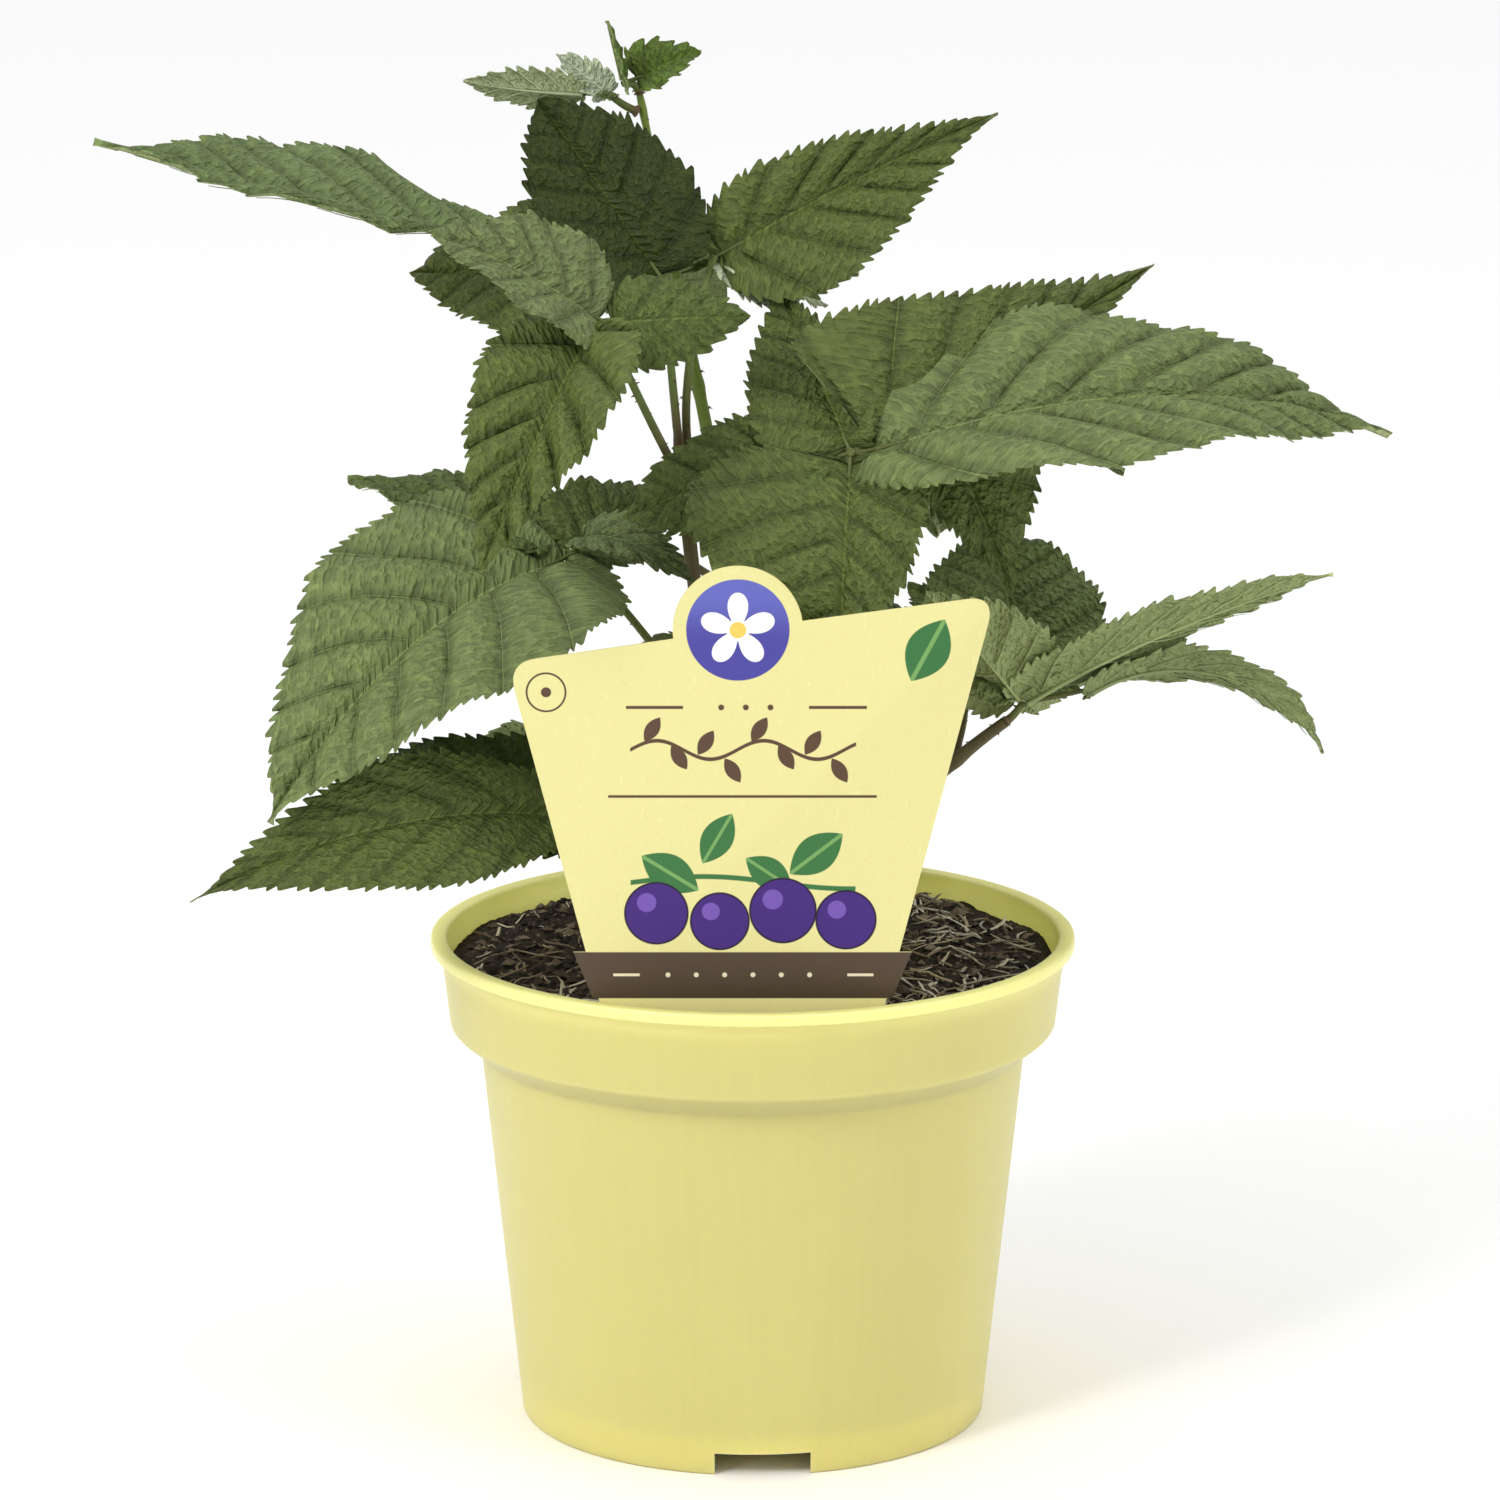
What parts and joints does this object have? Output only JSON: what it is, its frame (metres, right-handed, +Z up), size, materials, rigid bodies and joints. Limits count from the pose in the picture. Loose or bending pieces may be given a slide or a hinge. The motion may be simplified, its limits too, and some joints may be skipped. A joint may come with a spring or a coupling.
{
  "type": "potted bramble",
  "caption": "Young bramble with leaning canes and toothed compound leaves in a round plastic nursery pot, with a plain picture card in its soil.",
  "frame": {"origin": "on the pot's axis, at the level of the foot that the pot stands on", "axes": "+Z up; the side with the picture card faces -Y; +X is to the right as that side is seen"},
  "size_m": [0.3328, 0.1947, 0.369],
  "materials": {
    "pot": "satin, pale yellow",
    "peat": "rough, dark peat with pale fibres",
    "card": "coated, printed with plain shapes",
    "cane": "green bark with fine hairs",
    "leaf": "pleated, toothed, satin"
  },
  "bodies": {
    "root": {"pot": "pot", "soil": "peat", "picture_card": "card", "tall_cane": "cane", "short_cane": "cane", "middle_cane": "cane", "side_cane": "cane", "back_cane": "cane", "upper_left_leaf": "leaf", "high_leaf": "leaf", "high_right_leaf": "leaf", "right_leaf": "leaf", "left_leaf": "leaf", "low_left_leaf": "leaf", "low_right_leaf": "leaf", "tip_leaf": "leaf", "young_leaf": "leaf", "back_right_leaf": "leaf", "back_leaf": "leaf", "back_left_leaf": "leaf", "high_back_leaf": "leaf", "low_back_leaf": "leaf", "side_back_leaf": "leaf"}
  },
  "joints": []
}
